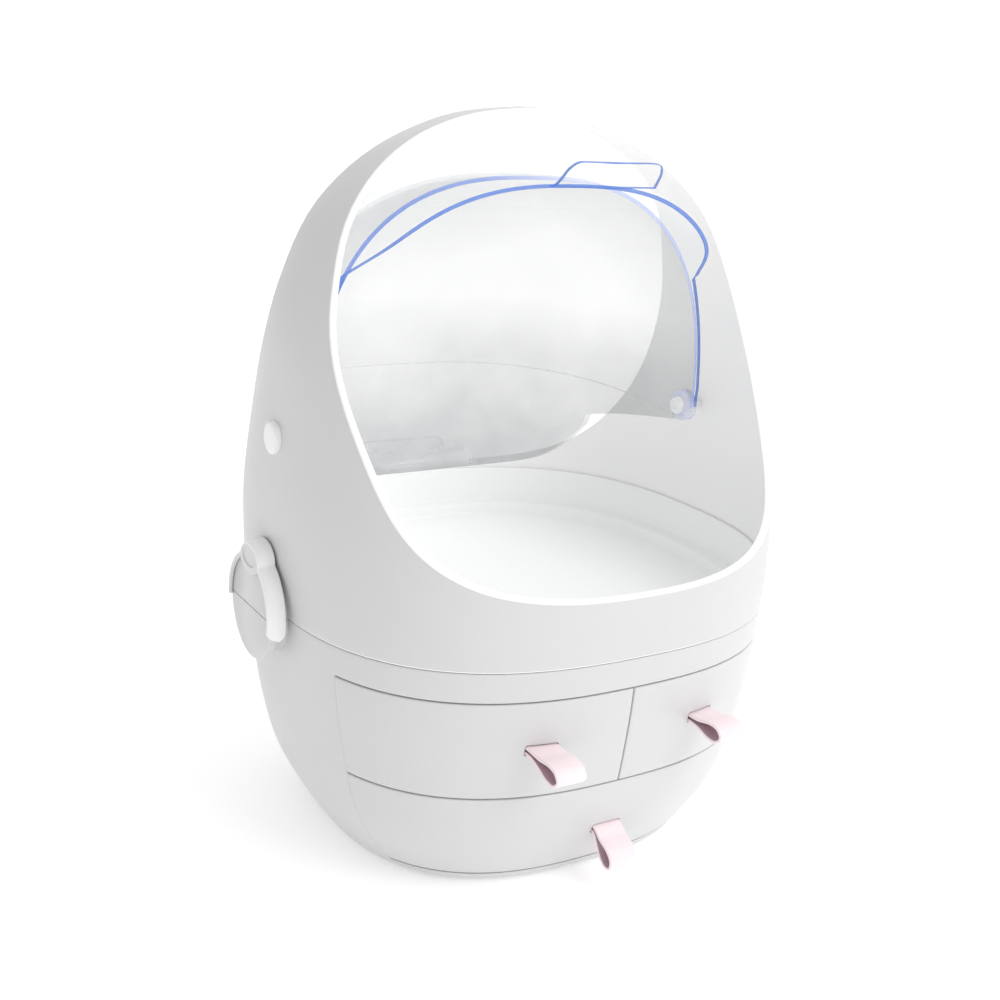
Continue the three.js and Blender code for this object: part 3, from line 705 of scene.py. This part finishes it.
def cut_out(piece, points, faces):
    """Takes a closed body out of a piece."""
    mesh = bpy.data.meshes.new("cutter")
    mesh.from_pydata(in_metres(points), [], faces)
    work = bmesh.new()
    work.from_mesh(mesh)
    bmesh.ops.recalc_face_normals(work, faces=work.faces)
    work.to_mesh(mesh)
    work.free()
    cutter = add_object("cutter", mesh)
    modifier = piece.modifiers.new("cut", "BOOLEAN")
    modifier.operation, modifier.solver, modifier.object = "DIFFERENCE", "EXACT", cutter
    result = bpy.data.meshes.new_from_object(piece.evaluated_get(bpy.context.evaluated_depsgraph_get()))
    piece.modifiers.clear()
    piece.data = result
    bpy.data.objects.remove(cutter)


def rounded_rectangle(x0, x1, z0, z1, radius, steps=8):
    """Points of a rectangle with rounded corners, anticlockwise."""
    corners = [(x1 - radius, z0 + radius, -90), (x1 - radius, z1 - radius, 0),
               (x0 + radius, z1 - radius, 90), (x0 + radius, z0 + radius, 180)]
    points = []
    for x, z, start in corners:
        for turn in np.radians(np.linspace(start, start + 90, steps)):
            points.append((x + radius * cos(turn), z + radius * sin(turn)))
    return np.array(points)


def tub(name):
    """The open box behind a front, with rounded corners and a rolled rim."""
    node = f"drawer_tub_{name}"
    (x0, x1), (y0, y1), (z0, z1) = spans(node)
    thick, corner = 2.0, 8.0
    levels = [
        (1.5, z0), (0.5, z0 + 0.4), (0, z0 + 1.5), (0, z1 - 0.7), (0.2, z1 - 0.2), (0.7, z1),
        (thick - 0.7, z1), (thick - 0.2, z1 - 0.2), (thick, z1 - 0.7), (thick, z0 + thick + 3),
        (thick + 0.6, z0 + thick + 1.1), (thick + 1.6, z0 + thick + 0.3), (thick + 3, z0 + thick),
    ]
    rings = []
    for inset, z in levels:
        ring = rounded_rectangle(x0 + inset, x1 - inset, y0 + inset, y1 - inset, max(corner - inset, 1))
        rings.append(points_at(ring[:, 0], ring[:, 1], z))
    make(f"tub_{name}", *stack_mesh(rings), inner_white, f"drawer_{name}", node, "inner")


def strap_span(x, z):
    """Where a strap leaves the curved skin, and where its stitched end lies behind the skin."""
    fore = -egg_ahead(max(abs(x) - strap_wide / 2, 0.0), z) - skin_clear
    end_up, end_across = strap_thick * 4, abs(x) + strap_wide / 2 + strap_thick * 2
    rear = -min(egg_ahead(end_across, z + up) for up in (-end_up, end_up))
    return float(fore), float(rear + front_wall + back_clear)


def strap(name, x, z, tilt, reach):
    """The soft loop: out of the slot, over, round the tip and back, tilted down about the slot."""
    fore, rear = strap_span(x, z)
    root, half_loop = rear + strap_thick, (strap_high - strap_thick) / 2
    half_gap = (strap_thick + strap_spread) / 2
    lead, sink = cos(radians(tilt)), sin(radians(tilt))
    run_shares = [(0.3, 0.5), (0.62, 0.95), (0.87, 0.85), (1, 0), (0.87, -0.85), (0.6, -0.92), (0.3, -0.5)]
    points = [(root, z + half_gap), (fore, z + half_gap)]
    for out_share, up_share in run_shares:
        out, up = out_share * reach, up_share * half_loop
        points.append((fore - out * lead - up * sink, z + up * lead - out * sink))
    points += [(fore, z - half_gap), (root, z - half_gap)]
    line = spline(points, strap_steps)
    half_wide, half_thick = strap_wide / 2, strap_thick / 2
    profile = rounded_rectangle(-half_wide, half_wide, -half_thick, half_thick, strap_corner, corner_steps)
    across, outward = profile[:, 0], profile[:, 1]
    rings = []
    for (y, high), (side_y, side_z) in zip(line, sideways(line)):
        rings.append(points_at(x + across, y + outward * side_y, high + outward * side_z))
    points, faces = stack_mesh(rings)
    # Faces this far to the inner side of the strap's middle belong to the inside of the loop, which takes the
    # darker strap colour: painted shade
    inner_from = -0.7
    slots = [1 if np.mean([outward[vertex % len(profile)] for vertex in face]) < inner_from else 0
             for face in faces]
    make(f"strap_{name}", points, faces, [strap_pink, strap_inside_painted_shade], f"drawer_{name}", f"pull_{name}",
         "strap", slots=slots)


# Covers: clear sheets turned about the pivot, with a coloured edge, bosses and a finger tab
cover_wall, boss_radius, boss_bore, cover_square = 2.0, 9.0, 3.3, 2.6
# A cover's leading edge in the side view: (distance along its arm, distance forward of it)
shoulder = spline([(0, 9), (68, 9), (77, 14.4), (96.4, 39), (126, 51), (142, 57.4)], cover_steps)
rear_shoulder = spline([(0, 9), (71, 9), (78, 15.6), (97.6, 35), (121, 41), (134.6, 45)], cover_steps)


def cover_sheet(outer, half, arm, swell, trail, turn):
    """A sheet about the pivot, from its leading edge (towards the front where turn is 1) to its trail."""
    across_steps, along_steps, least_radius, line_reach = 110, 80, boss_radius - 1, 312
    share = np.linspace(0, 1, cover_steps)
    line = np.stack([line_reach * share, boss_radius * (1 - share)], -1)

    def forward(edge, radius):
        """An edge's angle from its arm at distances from the pivot."""
        return np.interp(radius, np.hypot(edge[:, 0], edge[:, 1]), np.arctan2(edge[:, 1], edge[:, 0]))

    def sheet(inset, offset):
        low = asin((least_radius / outer) ** (cover_square / 2))
        across = np.linspace(low, pi - low, across_steps)
        radius = (outer - inset) * np.sin(across) ** (2 / cover_square)
        x = -(half - inset) * np.sign(np.cos(across)) * np.abs(np.cos(across)) ** (2 / cover_square)
        aside = offset / np.maximum(radius, boss_radius)
        first = arm + turn * (forward(swell, radius) - aside)
        last = trail - turn * (forward(line, radius) - aside)
        angle = first + (last - first) * np.linspace(0, 1, along_steps)[:, None]
        return grid_sheet(points_at(x, -radius * np.sin(angle), pivot_z + radius * np.cos(angle)))

    return sheet


def join(parts):
    """Several (points, faces, slots) as one."""
    points, faces, slots, start = [], [], [], 0
    for part_points, part_faces, part_slots in parts:
        points.append(part_points)
        faces += [tuple(start + vertex for vertex in face) for face in part_faces]
        slots += list(part_slots)
        start += len(part_points)
    return np.concatenate(points), faces, slots


def boss_ring(side, half):
    """The ring about the pivot pin at a cover's arm, in the material of slot 3."""
    near, far, chamfer, sides = half - 2.9, half - 0.1, 0.5, 40
    inner = boss_radius - chamfer
    profile = [(boss_bore, near), (inner, near), (boss_radius, near + chamfer), (boss_radius, far - chamfer),
               (inner, far), (boss_bore, far), (boss_bore, near)]
    rings = turned(profile, sides, 0, pivot_z, side)
    faces = grid_faces(len(rings), sides, closed=True)
    return np.concatenate(rings), faces, [3] * len(faces)


def tab_plate(outline_points, base, up, thick):
    """A flat tab from an outline of (across, out) points, standing at a base point in the direction up."""
    edge = np.array(outline_points)
    middle = edge.mean(axis=0)
    normal = np.array([0, -up[2], up[1]])
    toward = unit(middle - edge)
    half, chamfer, rings = thick / 2, 0.5, []
    for aside, inward in ((-half, chamfer), (chamfer - half, 0), (half - chamfer, 0), (half, chamfer)):
        moved = edge + toward * inward
        rings.append(np.array(base) + moved[:, :1] * (1, 0, 0) + moved[:, 1:] * up + normal * aside)
    points, faces = stack_mesh(rings)
    # The faces between the rings are the plate's edge, the fans at both ends its two sides
    edge_points = len(edge) * len(rings)
    return points, faces, [1 if max(face) < edge_points else 0 for face in faces]


def smooth_outline(points, radius, steps=6):
    """A polygon with its corners rounded."""
    points, most_share = np.array(points, float), 1 / 2.01
    result = []
    for here in range(len(points)):
        before, corner, after = points[here - 1], points[here], points[(here + 1) % len(points)]
        back_long, ahead_long = np.linalg.norm(before - corner), np.linalg.norm(after - corner)
        near = min(radius, back_long * most_share, ahead_long * most_share)
        a = corner + (before - corner) / back_long * near
        b = corner + (after - corner) / ahead_long * near
        for t in np.linspace(0, 1, steps):
            result.append((1 - t) ** 2 * a + 2 * t * (1 - t) * corner + t**2 * b)
    return result


def edge_slots(slots, points, faces, low, high):
    """Gives slot 2 to the edge faces between two angles forward of vertical."""
    result = []
    for slot, face in zip(slots, faces):
        middle = points[list(face)].mean(axis=0)
        turn = degrees(atan2(-middle[1], middle[2] - pivot_z))
        result.append(2 if slot == 1 and low < turn < high else slot)
    return result


def upright(angle):
    """The way up, leaning forward by an angle."""
    return np.array([0, -sin(angle), cos(angle)])


def cover(word, materials, sheet, half, rim_from, rim_to, plate):
    """A cover from its sheet, a boss ring on each arm and the plate of its tab."""
    points, faces, slots = shell_mesh(sheet, rounded_profile(cover_wall, cover_edge), 1)
    slots = edge_slots(slots, points, faces, rim_from, rim_to)
    points, faces, slots = join([(points, faces, slots), boss_ring(1, half), boss_ring(-1, half), plate])
    piece = make(f"{word}_cover_sheet", points, faces, materials, f"{word}_cover", f"{word}_cover", "clear",
                 slots=slots)
    # A polished clear sheet takes next to no light away from what stands behind it
    piece.visible_shadow = False
    piece.visible_diffuse = False


def covers():
    """The front cover, open over the top, and the rear cover, closed. Angles are forward of vertical."""
    radius, half, trail, tab_angle = 136.0, 121.0, radians(-86), radians(22)
    foot, sink, tab_middle, tab_steps = radius - 1.2, 0.4, 20, 70
    top = spline([(-16, 0), (-13, 0.7), (-10.5, 4), (-7.5, 9.4), (-3, 12.6), (4, 13), (24, 13), (42, 13),
                  (46.6, 11.4), (48, 7.4), (47.4, 3.4), (46.6, 0)], tab_steps)
    tab = [(x, foot + out) for x, out in top] + [(tab_middle, foot - sink)]
    cover("front", [clear, clear_edge, clear_rim, clear_boss],
          cover_sheet(radius, half, 0.0, shoulder, trail, 1), half, -120, -60,
          tab_plate(tab, (0, 0, pivot_z), upright(tab_angle), cover_wall))

    radius, half = 128.0, 118.0
    lead, arm, trail = radians(-117), radians(-99), radians(3)
    at, lean = lead + radians(1.5), lead + radians(90 - 8)
    foot, tab_half, tab_out, tab_corner = radius - 1, 27, 17, 4
    tab = smooth_outline([(-tab_half, 0), (-tab_half, tab_out), (tab_half, tab_out), (tab_half, 0), (0, 0)],
                         tab_corner)
    base = foot * upright(at) + (0, 0, pivot_z)
    points, faces, slots = tab_plate(tab, base, upright(lean), cover_wall)
    # Its tab is clear (slot 4) with a pale edge (slot 3)
    cover("rear", [clear_painted_shade, clear_edge_painted_light, clear_rim, clear_boss, clear],
          cover_sheet(radius, half, arm, rear_shoulder, trail, -1), half, -180, -80,
          (points, faces, [4 - slot for slot in slots]))


# Pivots
sides_of_part = (("left", -1), ("right", 1))


def pivots():
    pin_sides, cap_sides = 32, 48
    for word, side in sides_of_part:
        inner, outer = sorted(abs(x) for x in span(f"pivot_pin_{word}", 0))
        profile = [(1.5, inner + 0.8), (2.2, inner + 0.2), (3.6, inner), (4.6, inner + 0.4), (5, inner + 1.2),
                   (5, inner + 2.6), (4.6, inner + 3), (3, inner + 3), (3, outer - 0.4), (2.6, outer)]
        make(f"pin_{word}", *stack_mesh(turned(profile, pin_sides, 0, pivot_z, side)), clear_pin,
             node=f"pivot_pin_{word}", slot="pin")
        face, radius = max(abs(x) for x in span(f"pivot_cap_{word}", 0)), 8.0
        skin = float(egg_across(0, pivot_z))
        profile = [(radius, skin - 0.5), (radius, face - 1), (radius - 0.3, face - 0.4),
                   (radius - 0.9, face - 0.1), (radius - 2, face), (radius - 5, face + 0.05)]
        # The cap takes the brighter copy of the clip plastic: painted light
        make(f"cap_{word}", *stack_mesh(turned(profile, cap_sides, 0, pivot_z, side)), clip_side_painted_light,
             node=f"pivot_cap_{word}", slot="shell")


# Hubs, split by the seam, and the lock clips that turn on them
hub_radius, hub_neck, hub_head = 27.0, 24.0, 4.0


def hub_half(upper, side, head_root, face):
    """The half of a hub above or below the seam: a neck and a head with a rounded rim."""
    steps, way = 60, 1 if upper else -1
    edge_share, limit = way / 3, seam_z - hub_z + way * gap
    levels = [(hub_neck, half_width - 4, 0), (hub_neck, head_root, 0), (hub_radius, head_root, 0),
              (hub_radius, face - 0.9, 0), (hub_radius, face - 0.3, 0.15), (hub_radius, face, 0.6)]
    rings = []
    for radius, x, inward in levels:
        out, stop = radius - inward, limit + inward * edge_share
        corner = acos(stop / out)
        first, last = (-corner, corner) if upper else (corner, 2 * pi - corner)
        turn = np.linspace(first, last, steps)
        rings.append(points_at(side * x, hub_y + out * np.sin(turn), hub_z + out * np.cos(turn)))
    return stack_mesh(rings)


def hubs():
    face = span("upper_shell", 0)[1]
    for word, side in sides_of_part:
        for half, node in (("upper", "upper_shell"), ("lower", "lower_body")):
            points, faces = hub_half(half == "upper", side, face - hub_head, face)
            make(f"hub_{half}_{word}", points, faces, white, node=node, slot="shell")


# The thumb ear: how far forward of the hub's middle and above it, and its half length and half height
ear_lead, ear_place, ear_long, ear_high = 2.0, 27.0, 13.0, 8.8


def ear_reach(turn):
    """Where a ray at an angle over the hub enters and leaves the oval ear, or None."""
    way = np.array([cos(turn) / ear_long, sin(turn) / ear_high])
    start = np.array([ear_lead / ear_long, -ear_place / ear_high])
    a, b, c = way @ way, way @ start, start @ start - 1
    inside = b * b - a * c
    return None if inside <= 0 else ((-b - sqrt(inside)) / a, (-b + sqrt(inside)) / a)


def blend_high(first, second, width):
    """The larger of two values, with a smooth change between them."""
    share = min(max(0.5 + (second - first) / (2 * width), 0), 1)
    return first + (second - first) * share + width * share * (1 - share)


def clips():
    """A C-shaped ring lapping over the hub's rim, with an oval thumb ear and a rounded front end."""
    back, face = span("lock_clip_right", 0)
    ring_in, ring_out, lap, lip_in = 27.3, 30.0, 25.3, 24.3
    seat, lip_x, draft = face - 1.4, span("upper_shell", 0)[1] - hub_head - 0.3, 1.3
    middle_x = (back + face) / 2
    outer_blend, inner_blend, apart = 1.6, 1.2, 3
    start, end, even_steps, tip_steps = -5.0, 199.0, 160, 25
    rear_round, least_squeeze, hold_from, hold_over = 1.5, 0.8, 0.92, 0.06
    # The ear's dish: depth, half length and half height
    dish, dish_steps = [(0.7, 8.6, 4.4), (0.55, 9, 4.8), (0.0, 9.3, 5.1), (-4, 9.6, 5.4)], 48
    # The front end is a half circle as wide as the clip, with its sections closer together towards the tip
    tip = degrees((face - middle_x) / ring_out)
    sections = np.append(np.linspace(start, end - tip, even_steps),
                         end - tip + tip * np.sin(np.linspace(0, pi / 2, tip_steps)[1:]))
    for word, side in sides_of_part:
        rings = []
        for place in sections:
            turn = radians(place)
            reach = ear_reach(turn)
            outer = blend_high(ring_out, reach[1] if reach else ring_out - apart, outer_blend)
            inner = -blend_high(-lap, -reach[0] if reach else -lap - apart, inner_blend)
            front_end = min(radians(end - place) * ring_out / (face - middle_x), 1.0)
            rear_end = min(radians(place - start) * ring_out / rear_round, 1.0)
            rear_squeeze = least_squeeze + (1 - least_squeeze) * sqrt(1 - (1 - rear_end) ** 2)
            squeeze = sqrt(max(1 - (1 - front_end) ** 2, 0)) * rear_squeeze
            rim = outer - draft
            # Near its ends the section shrinks, so it draws back from the hub's rim there
            hold = min(max((squeeze - hold_from) / hold_over, 0), 1)
            inner, lip = ring_in + (inner - ring_in) * hold, ring_in + (lip_in - ring_in) * hold
            profile = [
                (lip, back), (outer - 1, back), (outer - 0.3, back + 0.25), (outer, back + 0.9),
                (rim, face - 1.5), (rim - 0.35, face - 0.5), (rim - 0.9, face - 0.12), (rim - 1.6, face),
                (inner + 0.7, face), (inner + 0.15, face - 0.2), (inner, face - 0.7), (inner, seat),
                (ring_in, seat), (ring_in, lip_x), (lip, lip_x),
            ]
            out, x = np.array(profile).T
            rings.append(points_at(side * (middle_x + (x - middle_x) * squeeze),
                                   hub_y + out * cos(turn), hub_z + out * sin(turn)))
        points, faces = stack_mesh(rings)
        # The profile's points 1 to 7 are the clip's outer wall, which takes a brighter copy of the clip
        # plastic: painted light
        slots = [1 if all(1 <= vertex % len(profile) <= 7 for vertex in face) else 0 for face in faces]
        clip = make(f"clip_{word}", points, faces, [clip_white, clip_side_painted_light], f"lock_clip_{word}",
                    f"lock_clip_{word}", "shell", slots=slots)
        turn = full_turn(dish_steps)
        oval = [points_at(side * (face - deep), hub_y - ear_lead + long * np.cos(turn),
                          hub_z + ear_place + high * np.sin(turn)) for deep, long, high in dish]
        cut_out(clip, *stack_mesh(oval))


# Base plate and feet
def base():
    low, high = span("base_plate", 2)
    plate_play, foot_steps, feet = 0.3, 40, 4
    levels = [(1, low), (0.2, low + 0.2), (0, low + 1), (0, high)]
    around = full_turn(around_steps)
    rings = [egg_point(around, high, wall + plate_play + inset) * (1, 1, 0) + (0, 0, z)
             for inset, z in levels]
    make("bottom_plate", *stack_mesh(rings), white, node="base_plate", slot="shell")
    turn = full_turn(foot_steps)
    for number in range(1, feet + 1):
        node = f"foot_{number}"
        (x0, x1), (y0, y1), (z0, z1) = spans(node)
        radius, x, y = (x1 - x0) / 2, (x0 + x1) / 2, (y0 + y1) / 2
        profile = [(radius - 1.2, z0), (radius - 0.4, z0 + 0.3), (radius, z0 + 1), (radius, z1)]
        rings = [points_at(x + out * np.cos(turn), y + out * np.sin(turn), z) for out, z in profile]
        make(f"pad_{number}", *stack_mesh(rings), rubber, node=node, slot="foot")


def inner_frames():
    """The cabinet's plain inner pieces stay as the CAD has them, in their own plastic."""
    for node in ("face_frame", "cabinet_shelf", "cabinet_divider", "drawer_runner_left",
                 "drawer_runner_right"):
        materials = frame["nodes"][node].data.materials
        materials.clear()
        materials.append(inner_white)


# Camera of the photograph: it stands to the left of the front and a little above
camera_azimuth, camera_elevation, camera_roll = radians(-31.38), radians(16.26), radians(3.09)
camera_distance, target_side, target_height = 734.3, -2.4, 170.4
focal_pixels, frame_pixels, sensor_width = 1348.0, 1000.0, 36.0
clip_near, clip_far = 0.01, 20


def make_camera():
    az, el = camera_azimuth, camera_elevation
    back = Vector((sin(az) * cos(el), -cos(az) * cos(el), sin(el)))
    right = Vector((cos(az), sin(az), 0))
    up = back.cross(right)
    level = Matrix((right, up, back)).transposed()
    rolled = level @ Matrix.Rotation(camera_roll, 3, "Z")
    target = Vector((0, axis_y, target_height)) + right * target_side
    data = bpy.data.cameras.new("photo_camera")
    data.sensor_width = sensor_width
    data.lens = sensor_width * focal_pixels / frame_pixels
    data.clip_start, data.clip_end = clip_near, clip_far
    camera = add_object("photo_camera", data)
    camera.matrix_world = Matrix.Translation((target + back * camera_distance) * MM) @ rolled.to_4x4()
    bpy.context.scene.camera = camera


def make_stage():
    """A white floor with a faint glow, which keeps it as white as the photograph's background."""
    reach, drift_scale, rough, glow = 4.0, 3, 0.8, 0.3
    skin = Shading(bpy.data.materials.new("floor_white"))
    skin.colour(drift_scale, (0.9, 0.9, 0.9), (0.93, 0.93, 0.93))
    skin.put("Roughness", rough)
    skin.put("Emission Color", (1, 1, 1, 1))
    skin.put("Emission Strength", glow)
    mesh = bpy.data.meshes.new("floor")
    corners = [(-reach, -reach, 0), (reach, -reach, 0), (reach, reach, 0), (-reach, reach, 0)]
    mesh.from_pydata(corners, [], [(0, 1, 2, 3)])
    mesh.materials.append(skin.owner)
    floor = add_object("floor", mesh)


def make_world():
    """Bright on the right and behind, dimmer on the left, as the object's shading in the photograph shows."""
    dim, bright, dim_until, bright_from = 0.5, 1.14, -0.9, 0.5
    world = Shading(bpy.data.worlds.new("studio"), "Background")
    world.put("Color", (1, 1, 1, 1))
    world.put("Strength", world.along("X", dim, bright, dim_until, bright_from, "Generated"))
    bpy.context.scene.world = world.owner
    bpy.context.scene.view_settings.view_transform = "Standard"


def make_light(name, place, aim, size, power):
    """A square area light at a place, facing the point that it is aimed at."""
    data = bpy.data.lights.new(name, "AREA")
    data.size = size
    data.energy = power
    light = add_object(name, data)
    light.location = place
    light.rotation_mode = "QUATERNION"
    light.rotation_quaternion = (Vector(aim) - Vector(place)).to_track_quat("-Z", "Y")


make_camera()
make_stage()
make_world()
make_light("key", place=(0.55, -1.3, 1.55), aim=(0, 0, 0.18), size=1.0, power=8.5)

upper_shell()
lower_body()
hubs()
tray()
inner_frames()
# Each drawer: its name, whether its left and right ends are open, and its strap's place, tilt and reach
pull_x, upper_pull_z, lower_pull_z = 47.0, 87.0, 31.0
upper_reach, lower_reach = 24.0, 21.0
for name, opens, x, z, tilt, reach in (
    ("upper_left", (True, False), -pull_x, upper_pull_z, 9, upper_reach),
    ("upper_right", (False, True), pull_x, upper_pull_z, 1, upper_reach),
    ("lower", (True, True), 0.0, lower_pull_z, 41, lower_reach),
):
    drawer_front(name, *opens, x, z)
    tub(name)
    strap(name, x, z, tilt, reach)
covers()
pivots()
clips()
base()
